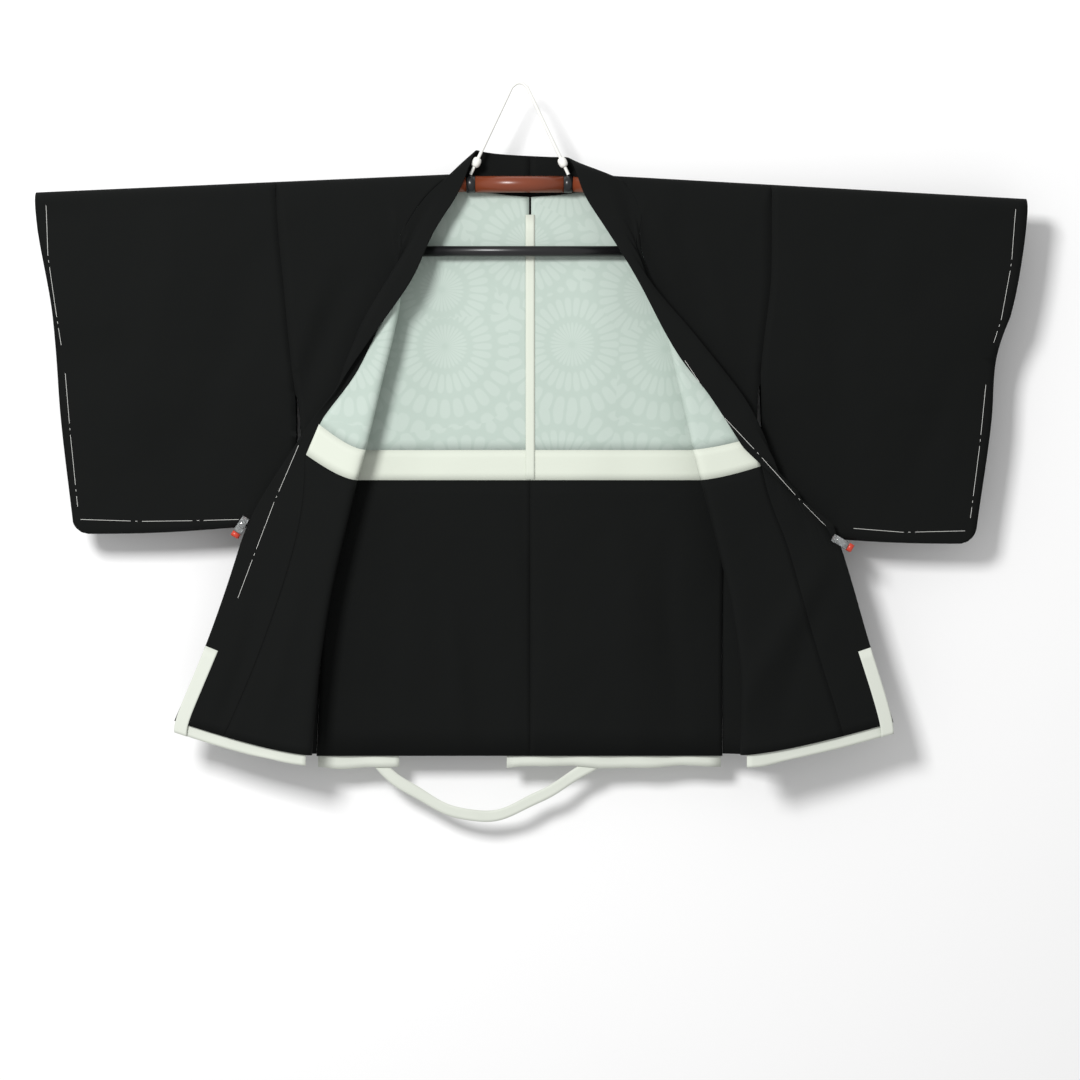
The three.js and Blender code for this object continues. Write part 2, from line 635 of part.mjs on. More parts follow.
function bead(innerRadius, outerRadius, height) {
  const profile = [];
  const steps = 8;
  profile.push(new THREE.Vector2(innerRadius, -height / 2));
  for (let k = 0; k <= steps; k++) {
    const angle = mix(-Math.PI / 2, Math.PI / 2, k / steps);
    const bulge = (outerRadius - innerRadius - 0.5) * Math.cos(angle);
    profile.push(new THREE.Vector2(innerRadius + 0.5 + bulge, (height / 2) * Math.sin(angle)));
  }
  profile.push(new THREE.Vector2(innerRadius, height / 2));
  profile.push(new THREE.Vector2(innerRadius, -height / 2));
  return new THREE.LatheGeometry(profile, 16);
}

const CORD_FOOT = { x: 64.5, z: ROD_Z + RING_RADIUS + 4 * GAP };

const cordLeg = (sign) => {
  const top = new THREE.Vector3(HANGER_X + sign * 10, 0, -CORD_RADIUS - 6);
  const foot = new THREE.Vector3(HANGER_X + sign * CORD_FOOT.x, 0, CORD_FOOT.z);
  return { top, foot };
};

function cordGeometry() {
  const left = cordLeg(-1);
  const right = cordLeg(1);
  const points = [];
  const straight = (a, b) => {
    for (const t of [0, 0.25, 0.5, 0.75, 1]) points.push(a.clone().lerp(b, t));
  };
  straight(left.foot, left.top);
  points.push(new THREE.Vector3(HANGER_X, 0, -CORD_RADIUS));
  straight(right.top, right.foot);
  const curve = new THREE.CatmullRomCurve3(points, false, 'centripetal');
  const section = new THREE.Shape().absarc(0, 0, CORD_RADIUS, 0, 2 * Math.PI);
  return new THREE.ExtrudeGeometry(section, { steps: 48, curveSegments: 4, extrudePath: curve });
}

function knotGeometry(sign) {
  const { top, foot } = cordLeg(sign);
  const place = foot.clone().lerp(top, 0.14);
  const lean = Math.atan2(top.x - foot.x, top.z - foot.z);
  return bead(CORD_RADIUS + GAP + 0.2, 6.2, 13).rotateX(Math.PI / 2).rotateY(lean).translate(place.x, 0, place.z);
}

// ---- Materials ----

const finish = (color, roughness, metalness = 0) => new THREE.MeshStandardMaterial({ color, roughness, metalness });
const crepe = () => finish('#1d1f1e', 0.85);
const mint = () => finish('#d5e0d9', 0.7);
const offWhite = () => finish('#e9ece0', 0.75);
const guard = () => finish('#eef1e8', 0.75);
const wood = () => finish('#a9512f', 0.4);
const black = () => finish('#1a1a1b', 0.35);
const cordWhite = () => finish('#f2f2ee', 0.9);
const clear = () => finish('#d8dcdc', 0.2);
const red = () => finish('#c2412c', 0.4);

// ---- Assembly ----

const jacket = new THREE.Group();
const add = (name, geometry, material) => {
  const mesh = new THREE.Mesh(geometry, material);
  mesh.name = name;
  jacket.add(mesh);
  return mesh;
};

const backCount = BACK_ROWS.length;
const bandTopBack = BACK_ROWS.indexOf(FACING_TOP + BAND);
const facingBack = BACK_ROWS.indexOf(FACING_TOP);
const bandTopFront = FRONT_ROWS.indexOf(FACING_TOP + BAND);
const facingFront = FRONT_ROWS.indexOf(FACING_TOP);

const bodies = {};
for (const side of [LEFT, RIGHT]) {
  const front = makeFront(side);
  const body = makeBody(side, front);
  const collar = makeCollar(side, front);
  bodies[side.name] = { front, body, collar };
  const firstFront = body.firstFront;

  const faced = (i) => i < facingBack || i > firstFront + facingFront;
  add(`body_${side.name}`, wall(body.grid, body.normals, 0, (i) => (faced(i) ? FACED : SHELL)), crepe());
  add(`collar_${side.name}`, wall(collar.grid, collar.normals, 0, COLLAR), crepe());

  const under = SHELL + LINING_GAP;
  const liningRows = [bandTopBack, firstFront + bandTopFront + 1];
  const liningNormals = body.normals.slice(...liningRows);
  const liningGrid = narrowed(body.grid.slice(...liningRows), COLLAR_GAP);
  add(`lining_${side.name}`, wall(liningGrid, liningNormals, under, under + LINING), mint());

  const bandFront = [firstFront + bandTopFront, firstFront + facingFront + 1];
  const frontBand = shortened(body.grid.slice(...bandFront), true);
  add(`band_front_${side.name}`, wall(frontBand, body.normals.slice(...bandFront), under, under + LINING), offWhite());
  const bandBack = [facingBack, bandTopBack + 1];
  const backBand = shortened(body.grid.slice(...bandBack), false);
  add(`band_back_${side.name}`, wall(backBand, body.normals.slice(...bandBack), under, under + LINING), offWhite());

  const gusset = makeGusset(side);
  add(`gusset_${side.name}`, wall(gusset, normalsOf(gusset, side.out), 0, SHELL), crepe());
  add(`sleeve_${side.name}`, sleeveGeometry(side), crepe());

  const hemGrid = part(front.grid, 0, FOLD_COLUMN + 1);
  const hem = hemRows(hemGrid, HEM_STRIP_DROP);
  add(`hem_strip_${side.name}`, wall(hem, normalsOf(hem, side.out), -GAP - STRIP, -GAP), guard());
  const edgeFirst = FRONT_ROWS.indexOf(-787);
  const edgeGrid = part(front.grid.slice(edgeFirst), 0, 3);
  edgeGrid.push(edgeGrid.at(-1).map((p) => p.clone().setZ(p.z - HEM_STRIP_DROP)));
  const edgeDepth = COLLAR + GAP;
  const edgeNormals = normalsOf(edgeGrid, side.out);
  add(`edge_strip_${side.name}`, wall(edgeGrid, edgeNormals, edgeDepth, edgeDepth + STRIP), guard());

  const clip = clipParts(CLIPS[side.name]);
  add(`clip_${side.name}`, clip.jaw, clear());
  add(`clip_pad_${side.name}`, clip.tail, red());
}

// The pale strip over the centre seam of the lining, and the guard strips at the back.
const stripHalf = 6;
const stripY = (z) => backDepth(z) - SHELL - LINING_GAP - LINING - GAP;
const centreStrip = [-175, -260, -440, FACING_TOP + BAND, FACING_TOP + 1].map((z) =>
  [-stripHalf, stripHalf].map((dx) => new THREE.Vector3(CENTRE_X + dx, stripY(z) - 0.1, z)),
);
add('centre_strip', wall(centreStrip, normalsOf(centreStrip, -1), 0, STRIP), offWhite());

const hemY = backDepth(HEM) + GAP + 0.1;
const backStrips = {
  hem_strip_back_left: [LEFT.sections.at(-1).back + 2, -160],
  hem_strip_back_right: [-18, RIGHT.sections.at(-1).back - 2],
};
for (const [name, [from, to]] of Object.entries(backStrips)) {
  const rows = straightStrip(from, to, HEM + 15, hemY, 15 + HEM_STRIP_DROP);
  add(name, wall(rows, normalsOf(rows, -1), -STRIP, 0), guard());
}
const loop = loopRows();
add('hem_loop', wall(loop, normalsOf(loop, -1), 0, STRIP), guard());

add('hanger_tube', rodAlongX(ROD_RADIUS, 2 * TUBE_HALF), wood()).position.set(HANGER_X, 0, ROD_Z);
for (const [side, sign] of [[LEFT, -1], [RIGHT, 1]]) {
  const ring = TUBE_HALF + GAP + RING_WIDTH / 2;
  add(`hanger_ring_${side.name}`, rodAlongX(RING_RADIUS, RING_WIDTH), black())
    .position.set(HANGER_X + sign * ring, 0, ROD_Z);
  const tilt = -sign * THREE.MathUtils.degToRad(side.droop);
  const arm = new THREE.Group();
  arm.position.set(HANGER_X + sign * (ARM_START + 0.5), 0, ROD_Z);
  arm.rotation.y = -tilt;
  const tube = rodAlongX(ARM_RADIUS, ARM_LENGTH).translate((sign * ARM_LENGTH) / 2, 0, 0);
  const cap = rodAlongX(ARM_RADIUS + 0.8, CAP_LENGTH).translate(sign * (ARM_LENGTH + GAP + CAP_LENGTH / 2), 0, 0);
  for (const [name, geometry, material] of [['arm', tube, wood()], ['cap', cap, black()]]) {
    const mesh = new THREE.Mesh(geometry, material);
    mesh.name = `hanger_${name}_${side.name}`;
    arm.add(mesh);
  }
  jacket.add(arm);
  const linkTop = ROD_Z - armDrop(side, HANGER_X + sign * LINK_OUT) - ARM_RADIUS - 2 * GAP;
  const linkLow = BAR_Z + BAR_RADIUS + GAP;
  const link = new THREE.CylinderGeometry(3, 3, linkTop - linkLow, 12).rotateX(Math.PI / 2);
  add(`hanger_link_${side.name}`, link, black()).position
    .set(HANGER_X + sign * LINK_OUT, 0, (linkTop + linkLow) / 2);
  add(`cord_knot_${side.name}`, knotGeometry(sign), cordWhite());
}
add('hanger_bar', rodAlongX(BAR_RADIUS, 2 * LINK_OUT + 16), black()).position.set(HANGER_X, 0, BAR_Z);
add('hanging_cord', cordGeometry(), cordWhite());

export default jacket;
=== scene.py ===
# A black haori jacket hung open on a kimono hanger, with its fronts clipped back over a pale figured lining.

import math

import bmesh
import bpy
import numpy as np
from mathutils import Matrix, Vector
from mathutils.bvhtree import BVHTree


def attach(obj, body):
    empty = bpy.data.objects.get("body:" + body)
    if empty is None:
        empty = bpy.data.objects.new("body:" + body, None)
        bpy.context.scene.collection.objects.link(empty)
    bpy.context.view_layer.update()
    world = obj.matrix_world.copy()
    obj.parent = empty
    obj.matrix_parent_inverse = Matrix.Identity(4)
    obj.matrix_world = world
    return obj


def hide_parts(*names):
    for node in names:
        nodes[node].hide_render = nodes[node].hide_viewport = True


mm = 0.001
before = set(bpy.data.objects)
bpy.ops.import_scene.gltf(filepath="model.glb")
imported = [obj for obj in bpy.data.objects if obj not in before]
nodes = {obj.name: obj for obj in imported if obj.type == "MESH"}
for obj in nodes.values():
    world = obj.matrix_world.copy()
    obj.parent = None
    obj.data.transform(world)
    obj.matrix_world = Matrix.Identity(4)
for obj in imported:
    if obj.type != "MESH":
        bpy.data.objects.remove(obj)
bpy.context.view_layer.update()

# ---- Camera, backdrop and light ----

view = {"distance": 4.5, "lens": 114.0, "centreX": 26.0, "centreZ": -604.0}
cameraData = bpy.data.cameras.new("camera")
cameraData.lens = view["lens"]
cameraData.sensor_width = 36.0
camera = bpy.data.objects.new("camera", cameraData)
camera.location = (view["centreX"] * mm, -view["distance"], view["centreZ"] * mm)
camera.rotation_euler = (math.pi / 2, 0, 0)
bpy.context.collection.objects.link(camera)
bpy.context.scene.camera = camera
bpy.context.scene.view_settings.view_transform = "Standard"

stage = {
    "wallY": 0.062,
    "wallHalf": 6.0,
    "wallMiddleZ": -0.6,
    "worldStrength": 0.55,
    "lampPower": 120.0,
    "lampSize": 0.9,
    "lampPlace": (-1.5, -3.2, 1.0),
}


def meshObject(name, points, faces):
    mesh = bpy.data.meshes.new(name)
    mesh.from_pydata(points, [], faces)
    mesh.update()
    thing = bpy.data.objects.new(name, mesh)
    bpy.context.collection.objects.link(thing)
    return thing


half = stage["wallHalf"]
wallSquare = ((-half, -half), (half, -half), (half, half), (-half, half))
wallCorners = [(x, stage["wallY"], z + stage["wallMiddleZ"]) for x, z in wallSquare]
backdrop = meshObject("backdrop", wallCorners, [(0, 1, 2, 3)])
lampData = bpy.data.lights.new("window", "AREA")
lampData.energy = stage["lampPower"]
lampData.size = stage["lampSize"]
lamp = bpy.data.objects.new("window", lampData)
lamp.location = stage["lampPlace"]
lamp.rotation_euler = (Vector((0, 0, stage["wallMiddleZ"])) - lamp.location).to_track_quat("-Z", "Y").to_euler()
bpy.context.collection.objects.link(lamp)
world = bpy.data.worlds.new("room")
world.use_nodes = True
world.node_tree.nodes["Background"].inputs["Color"].default_value = (1, 1, 1, 1)
world.node_tree.nodes["Background"].inputs["Strength"].default_value = stage["worldStrength"]
bpy.context.scene.world = world
backdrop.visible_shadow = False
backdrop.visible_diffuse = False
print("stage made")

# ---- Materials ----


def newGroup(name, sockets):
    group = bpy.data.node_groups.new(name, "ShaderNodeTree")
    for label, direction, kind in sockets:
        group.interface.new_socket(name=label, in_out=direction, socket_type=kind)
    return group, group.nodes.new("NodeGroupInput"), group.nodes.new("NodeGroupOutput")


def maths(group, operation, *values):
    node = group.nodes.new("ShaderNodeMath")
    node.operation = operation
    for k, value in enumerate(values):
        if isinstance(value, (int, float)):
            node.inputs[k].default_value = value
        else:
            group.links.new(value, node.inputs[k])
    return node.outputs[0]


# Cloth grain: a fine crinkle of thread size over broad soft rumples, both as bump.
grain, grainIn, grainOut = newGroup(
    "cloth_grain",
    [
        ("Vector", "INPUT", "NodeSocketVector"),
        ("Threads per metre", "INPUT", "NodeSocketFloat"),
        ("Thread depth", "INPUT", "NodeSocketFloat"),
        ("Rumple depth", "INPUT", "NodeSocketFloat"),
        ("Normal", "OUTPUT", "NodeSocketVector"),
    ],
)
crinkle = grain.nodes.new("ShaderNodeTexNoise")
crinkle.inputs["Detail"].default_value = 3
rumple = grain.nodes.new("ShaderNodeTexNoise")
rumple.inputs["Scale"].default_value = 9
rumple.inputs["Detail"].default_value = 2
fine = grain.nodes.new("ShaderNodeBump")
broad = grain.nodes.new("ShaderNodeBump")
grain.links.new(grainIn.outputs["Vector"], crinkle.inputs["Vector"])
grain.links.new(grainIn.outputs["Vector"], rumple.inputs["Vector"])
grain.links.new(grainIn.outputs["Threads per metre"], crinkle.inputs["Scale"])
grain.links.new(crinkle.outputs[0], fine.inputs["Height"])
grain.links.new(rumple.outputs[0], broad.inputs["Height"])
grain.links.new(grainIn.outputs["Thread depth"], fine.inputs["Distance"])
grain.links.new(grainIn.outputs["Rumple depth"], broad.inputs["Distance"])
grain.links.new(broad.outputs["Normal"], fine.inputs["Normal"])
grain.links.new(fine.outputs["Normal"], grainOut.inputs["Normal"])

# Flower heads: round each cell's centre, rings of petals, each ring turned half a petal from the last.
flowers, flowersIn, flowersOut = newGroup(
    "flower_heads",
    [
        ("Vector", "INPUT", "NodeSocketVector"),
        ("Heads per metre", "INPUT", "NodeSocketFloat"),
        ("Petals", "INPUT", "NodeSocketFloat"),
        ("Ring width", "INPUT", "NodeSocketFloat"),
        ("Mask", "OUTPUT", "NodeSocketFloat"),
    ],
)
apart = flowers.nodes.new("ShaderNodeSeparateXYZ")
flat = flowers.nodes.new("ShaderNodeCombineXYZ")
cells = flowers.nodes.new("ShaderNodeTexVoronoi")
cells.voronoi_dimensions = "2D"
cells.inputs["Randomness"].default_value = 0.7
local = flowers.nodes.new("ShaderNodeVectorMath")
local.operation = "SUBTRACT"
localApart = flowers.nodes.new("ShaderNodeSeparateXYZ")
flowers.links.new(flowersIn.outputs["Vector"], apart.inputs[0])
flowers.links.new(apart.outputs["X"], flat.inputs["X"])
flowers.links.new(apart.outputs["Z"], flat.inputs["Y"])
flowers.links.new(flat.outputs[0], cells.inputs["Vector"])
flowers.links.new(flowersIn.outputs["Heads per metre"], cells.inputs["Scale"])
flowers.links.new(flat.outputs[0], local.inputs[0])
flowers.links.new(cells.outputs["Position"], local.inputs[1])
flowers.links.new(local.outputs[0], localApart.inputs[0])
across, along = localApart.outputs["X"], localApart.outputs["Y"]
acrossSquared = maths(flowers, "MULTIPLY", across, across)
alongSquared = maths(flowers, "MULTIPLY", along, along)
radius = maths(flowers, "SQRT", maths(flowers, "ADD", acrossSquared, alongSquared))
angle = maths(flowers, "ARCTAN2", along, across)
rings = maths(flowers, "DIVIDE", radius, flowersIn.outputs["Ring width"])
turned = maths(flowers, "MULTIPLY", maths(flowers, "FLOOR", rings), math.pi / 2)
spoke = maths(flowers, "MULTIPLY", angle, flowersIn.outputs["Petals"])
petal = maths(flowers, "ABSOLUTE", maths(flowers, "SINE", maths(flowers, "ADD", spoke, turned)))
tip = maths(flowers, "SINE", maths(flowers, "MULTIPLY", maths(flowers, "FRACT", rings), math.pi))
shape = maths(flowers, "MULTIPLY", petal, tip)
mask = flowers.nodes.new("ShaderNodeMapRange")
mask.interpolation_type = "SMOOTHSTEP"
mask.inputs["From Min"].default_value = 0.22
mask.inputs["From Max"].default_value = 0.5
flowers.links.new(shape, mask.inputs["Value"])
flowers.links.new(mask.outputs[0], flowersOut.inputs["Mask"])

looks = {
    "black_silk": {
        "color": (0.0040, 0.0046, 0.0043),
        "roughness": 0.88,
        "threads": 1500,
        "depth": 0.00025,
        "rumple": 0.006,
    },
    "figured_lining": {
        "color": (0.46, 0.545, 0.49),
        "figure": (0.50, 0.582, 0.528),
        "roughness": 0.5,
        "threads": 2500,
        "depth": 0.00004,
        "rumple": 0.003,
    },
    "lining_band": {
        "color": (0.66, 0.70, 0.61),
        "roughness": 0.6,
        "threads": 2500,
        "depth": 0.00005,
        "rumple": 0.002,
    },
    "hem_strip": {
        "color": (0.66, 0.69, 0.62),
        "roughness": 0.8,
        "threads": 1800,
        "depth": 0.00012,
        "rumple": 0.001,
    },
    "white_cord": {
        "color": (0.86, 0.86, 0.82),
        "roughness": 0.85,
        "threads": 1400,
        "depth": 0.0003,
        "rumple": 0,
    },
    "hanger_tube": {"color": (0.19, 0.042, 0.016), "roughness": 0.3},
    "hanger_black": {"color": (0.011, 0.011, 0.012), "roughness": 0.3},
    "clip_body": {"color": (0.85, 0.88, 0.88), "roughness": 0.12, "transmission": 0.85},
    "clip_pad": {"color": (0.55, 0.05, 0.025), "roughness": 0.3},
}
finishes = {}
for name, look in looks.items():
    material = bpy.data.materials.new(name)
    material.use_nodes = True
    tree = material.node_tree
    shader = tree.nodes["Principled BSDF"]
    shader.inputs["Base Color"].default_value = (*look["color"], 1)
    shader.inputs["Roughness"].default_value = look["roughness"]
    shader.inputs["Transmission Weight"].default_value = look.get("transmission", 0)
    if "threads" in look:
        shader.inputs["Specular IOR Level"].default_value = 0.15
        place = tree.nodes.new("ShaderNodeTexCoord")
        cloth = tree.nodes.new("ShaderNodeGroup")
        cloth.node_tree = grain
        cloth.inputs["Threads per metre"].default_value = look["threads"]
        cloth.inputs["Thread depth"].default_value = look["depth"]
        cloth.inputs["Rumple depth"].default_value = look["rumple"]
        tree.links.new(place.outputs["Object"], cloth.inputs["Vector"])
        tree.links.new(cloth.outputs["Normal"], shader.inputs["Normal"])
    if "figure" in look:
        figure = tree.nodes.new("ShaderNodeGroup")
        figure.node_tree = flowers
        figure.inputs["Heads per metre"].default_value = 7
        figure.inputs["Petals"].default_value = 15
        figure.inputs["Ring width"].default_value = 0.033
        mix = tree.nodes.new("ShaderNodeMix")
        mix.data_type = "RGBA"
        mix.inputs[6].default_value = (*look["color"], 1)
        mix.inputs[7].default_value = (*look["figure"], 1)
        tree.links.new(place.outputs["Object"], figure.inputs["Vector"])
        tree.links.new(figure.outputs["Mask"], mix.inputs[0])
        tree.links.new(mix.outputs[2], shader.inputs["Base Color"])
    finishes[name] = material
backdropMaterial = bpy.data.materials.new("backdrop")
backdropMaterial.use_nodes = True
backdropMaterial.node_tree.nodes["Principled BSDF"].inputs["Base Color"].default_value = (0.93, 0.93, 0.93, 1)
backdropMaterial.node_tree.nodes["Principled BSDF"].inputs["Roughness"].default_value = 1
backdrop.data.materials.append(backdropMaterial)
# The wall is clear from behind, so that the jacket's back can be looked at.
wallTree = backdropMaterial.node_tree
facing = wallTree.nodes.new("ShaderNodeNewGeometry")
clear = wallTree.nodes.new("ShaderNodeBsdfTransparent")
wallMix = wallTree.nodes.new("ShaderNodeMixShader")
wallTree.links.new(facing.outputs["Backfacing"], wallMix.inputs[0])
wallTree.links.new(wallTree.nodes["Principled BSDF"].outputs[0], wallMix.inputs[1])
wallTree.links.new(clear.outputs[0], wallMix.inputs[2])
wallTree.links.new(wallMix.outputs[0], wallTree.nodes["Material Output"].inputs["Surface"])
print("materials made")

# ---- Folds: soft ridges (lift > 0) and troughs (lift < 0), each along a line, in millimetres ----

folds = [
    # start x, z, end x, z, width, lift, layer
    (404, -603, 290, -843, 17, 6.0, "front"),
    (425, -640, 330, -860, 13, -3.0, "front"),
    (-230, -249, -285, -462, 14, -4.5, "front"),
    (-262, -230, -292, -400, 10, 2.4, "front"),
    (137, -125, 192, -284, 12, -4.0, "front"),
    (196, -179, 246, -315, 14, -4.0, "front"),
    (232, -200, 270, -380, 17, 2.6, "front"),
    (-300, -650, -330, -870, 15, 2.6, "front"),
    (-345, -660, -400, -860, 12, -2.4, "front"),
    (-350, -190, -420, -520, 26, -3.2, "front"),
    (-470, -175, -500, -470, 34, 3.4, "front"),
    (-540, -330, -430, -560, 22, -2.6, "front"),
    (-590, -390, -560, -570, 14, 2.2, "front"),
    (372, -205, 440, -500, 28, -3.0, "front"),
    (500, -185, 520, -430, 32, 3.2, "front"),
    (590, -360, 470, -575, 20, -2.8, "front"),
    (610, -420, 575, -590, 13, 2.0, "front"),
    (-83, -699, -83, -885, 15, 4.0, "back"),
    (0, -525, -7, -885, 7, -2.6, "back"),
    (120, -560, 150, -880, 24, 3.0, "back"),
    (205, -600, 214, -870, 14, -2.4, "back"),
    (-170, -580, -196, -870, 22, -2.6, "back"),
    (70, -240, 110, -520, 34, 2.6, "back"),
    (-100, -230, -130, -520, 30, -2.6, "back"),
    (-390, -200, -470, -520, 30, 3.0, "back"),
    (-550, -300, -480, -560, 20, -2.4, "back"),
    (400, -190, 450, -520, 27, 2.8, "back"),
    (570, -320, 500, -560, 22, -2.6, "back"),
]


def folded(points):
    # Each fold moves the cloth off its plane by its lift.
    # The lift falls away as a bell across the line and as a sine along it.
    x, y, z = points[:, 0] / mm, points[:, 1] / mm, points[:, 2] / mm
    shares = {"front": np.clip(-y / 10, 0, 1), "back": np.clip(y / 10, 0, 1)}
    shift = np.zeros(len(points))
    for startX, startZ, endX, endZ, width, lift, layer in folds:
        length = math.hypot(endX - startX, endZ - startZ)
        alongX, alongZ = (endX - startX) / length, (endZ - startZ) / length
        along = ((x - startX) * alongX + (z - startZ) * alongZ) / length
        across = (x - startX) * alongZ - (z - startZ) * alongX + 0.05 * length * np.sin(2.6 * along + startX)
        taper = np.sin(np.pi * np.clip(along * 0.94 + 0.03, 0, 1)) ** 0.6
        shift += lift * taper * np.exp(-((across / width) ** 2)) * shares[layer]
    # Slow waves over the whole cloth keep any panel from lying dead flat.
    still = np.clip((-z - 170) / 120, 0, 1)
    waves = 0.8 * np.sin(x / 47 + 0.6 * np.sin(z / 90)) + 0.5 * np.sin(x / 23 + z / 71)
    shift += waves * still * (shares["front"] + shares["back"])
    moved = points.copy()
    moved[:, 1] -= shift * mm
    return moved


# ---- Pieces: each solid's form, with its facets rounded off and its cut edges kept ----

refine = {"sharpDegrees": 52, "joinDegrees": 30, "squareDegrees": 60, "shadeDegrees": 50}


def sleeveCorner(points, side):
    # A point nearer the cuff and the bottom than the corner's radius is drawn back onto its arc.
    corner = corners[side]
    x, z = points[:, 0] / mm, points[:, 2] / mm
    inward = corner["out"] * (corner["cuffX"] + corner["cuffSlope"] * (z - corner["bottomZ"]) - x)
    upward = z - corner["bottomZ"]
    radius = corner["radius"]
    away = np.hypot(radius - inward, radius - upward)
    isOutside = (inward < radius) & (upward < radius) & (away > radius)
    pull = np.where(isOutside, 1 - radius / np.maximum(away, 1e-6), 0)
    moved = points.copy()
    moved[:, 0] -= corner["out"] * pull * (radius - inward) * mm
    moved[:, 2] += pull * (radius - upward) * mm
    return moved


ripple = {
    "hem": -884,
    "fade": 12,
    "long": 29,
    "short": 11,
    "longHeight": 1.8,
    "shortHeight": 0.9,
    "swing": 1.5,
}


def rippled(points):
    # Below the hem the strips hang free.
    # Two sines along the hem lift and swing them, growing from nothing at the hem.
    x, z = points[:, 0] / mm, points[:, 2] / mm
    free = np.clip((ripple["hem"] - z) / ripple["fade"], 0, 1)
    longWave = ripple["longHeight"] * np.sin(x / ripple["long"])
    lift = longWave + ripple["shortHeight"] * np.sin(x / ripple["short"] + 1)
    moved = points.copy()
    moved[:, 1] += free * ripple["swing"] * np.sin(x / ripple["short"] + z / 15) * mm
    moved[:, 2] += free * lift * mm
    return moved


corners = {
    "left": {"out": -1, "cuffX": -587, "cuffSlope": -0.12, "bottomZ": -596, "radius": 19},
    "right": {"out": 1, "cuffX": 597, "cuffSlope": 0.147, "bottomZ": -609, "radius": 19},
}


def refined(name, finish, levels, isCloth):
    node = nodes[name]
    work = bmesh.new()
    work.from_mesh(node.data)
    work.transform(node.matrix_world)
    bmesh.ops.remove_doubles(work, verts=work.verts, dist=0.02 * mm)
    bmesh.ops.join_triangles(
        work,
        faces=work.faces,
        angle_face_threshold=math.radians(refine["joinDegrees"]),
        angle_shape_threshold=math.radians(refine["squareDegrees"]),
    )
    crease = work.edges.layers.float.new("crease_edge")
    rim = work.verts.layers.float.new("rim")
    for edge in work.edges:
        if edge.calc_face_angle(math.pi) > math.radians(refine["sharpDegrees"]):
            edge[crease] = 1
            for vertex in edge.verts:
                vertex[rim] = 1
    mesh = bpy.data.meshes.new(name + "_form")
    work.to_mesh(mesh)
    work.free()
    form = bpy.data.objects.new(name + "_form", mesh)
    bpy.context.collection.objects.link(form)
    smoothing = form.modifiers.new("smoothing", "SUBSURF")
    smoothing.levels = smoothing.render_levels = levels
    made = bpy.data.meshes.new_from_object(form.evaluated_get(bpy.context.evaluated_depsgraph_get()))
    bpy.data.objects.remove(form)
    if isCloth:
        points = np.empty(len(made.vertices) * 3)
        made.vertices.foreach_get("co", points)
        points = folded(points.reshape(-1, 3))
        if name.startswith("sleeve"):
            points = sleeveCorner(points, name.split("_")[1])
        if name.startswith("hem"):
            points = rippled(points)
        made.vertices.foreach_set("co", points.ravel())
    made.name = name
    made.materials.clear()
    made.materials.append(finishes[finish])
    made.set_sharp_from_angle(angle=math.radians(refine["shadeDegrees"]))
    piece = bpy.data.objects.new(name + "_piece", made)
    bpy.context.collection.objects.link(piece)
    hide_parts(name)
    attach(piece, "root")
    return piece


# node stem, finish, levels, cloth; each is made on the left and the right
paired = [
    ("body", "black_silk", 2, True),
    ("collar", "black_silk", 2, True),
    ("gusset", "black_silk", 2, True),
    ("sleeve", "black_silk", 3, True),
    ("lining", "figured_lining", 2, True),
    ("band_front", "lining_band", 2, True),
    ("band_back", "lining_band", 2, True),
    ("hem_strip", "hem_strip", 2, True),
    ("hem_strip_back", "hem_strip", 2, True),
    ("edge_strip", "hem_strip", 2, True),
    ("clip", "clip_body", 1, False),
    ("clip_pad", "clip_pad", 1, False),
    ("hanger_ring", "hanger_black", 1, False),
    ("hanger_arm", "hanger_tube", 1, False),
    ("hanger_cap", "hanger_black", 1, False),
    ("hanger_link", "hanger_black", 1, False),
    ("cord_knot", "white_cord", 2, False),
]
single = [
    ("centre_strip", "lining_band", 2, True),
    ("hem_loop", "hem_strip", 2, True),
    ("hanger_tube", "hanger_tube", 1, False),
    ("hanger_bar", "hanger_black", 1, False),
]
pieces = {}
for stem, finish, levels, isCloth in paired:
    for side in ("left", "right"):
        pieces[f"{stem}_{side}"] = refined(f"{stem}_{side}", finish, levels, isCloth)
for name, finish, levels, isCloth in single:
    pieces[name] = refined(name, finish, levels, isCloth)


def closeSeam(name, others, reach=2.6, share=0.92):
    # The rim of one piece is drawn to the nearest point of its neighbours.
    # A sewn seam then shows no light.
    mesh = pieces[name].data
    rim = np.empty(len(mesh.vertices))
    mesh.attributes["rim"].data.foreach_get("value", rim)
    trees = []
    for other in others:
        near = pieces[other].data
        corners = [v.co for v in near.vertices]
        trees.append(BVHTree.FromPolygons(corners, [p.vertices[:] for p in near.polygons]))
    for k in np.flatnonzero(rim > 0.9):
        place = mesh.vertices[k].co
        hits = [hit for hit in (tree.find_nearest(place, reach * mm) for tree in trees) if hit[0]]
        if hits:
            mesh.vertices[k].co = place.lerp(min(hits, key=lambda hit: hit[3])[0], share)


for side, other in (("left", "right"), ("right", "left")):
    closeSeam("body_" + side, ["collar_" + side, "sleeve_" + side, "body_" + other])
    closeSeam("collar_" + side, ["collar_" + other])
    closeSeam("gusset_" + side, ["body_" + side])
    closeSeam("lining_" + side, ["band_front_" + side, "band_back_" + side, "collar_" + side])
print("pieces made", sum(len(p.data.polygons) for p in pieces.values()), "faces")

# ---- Hanging cord ----

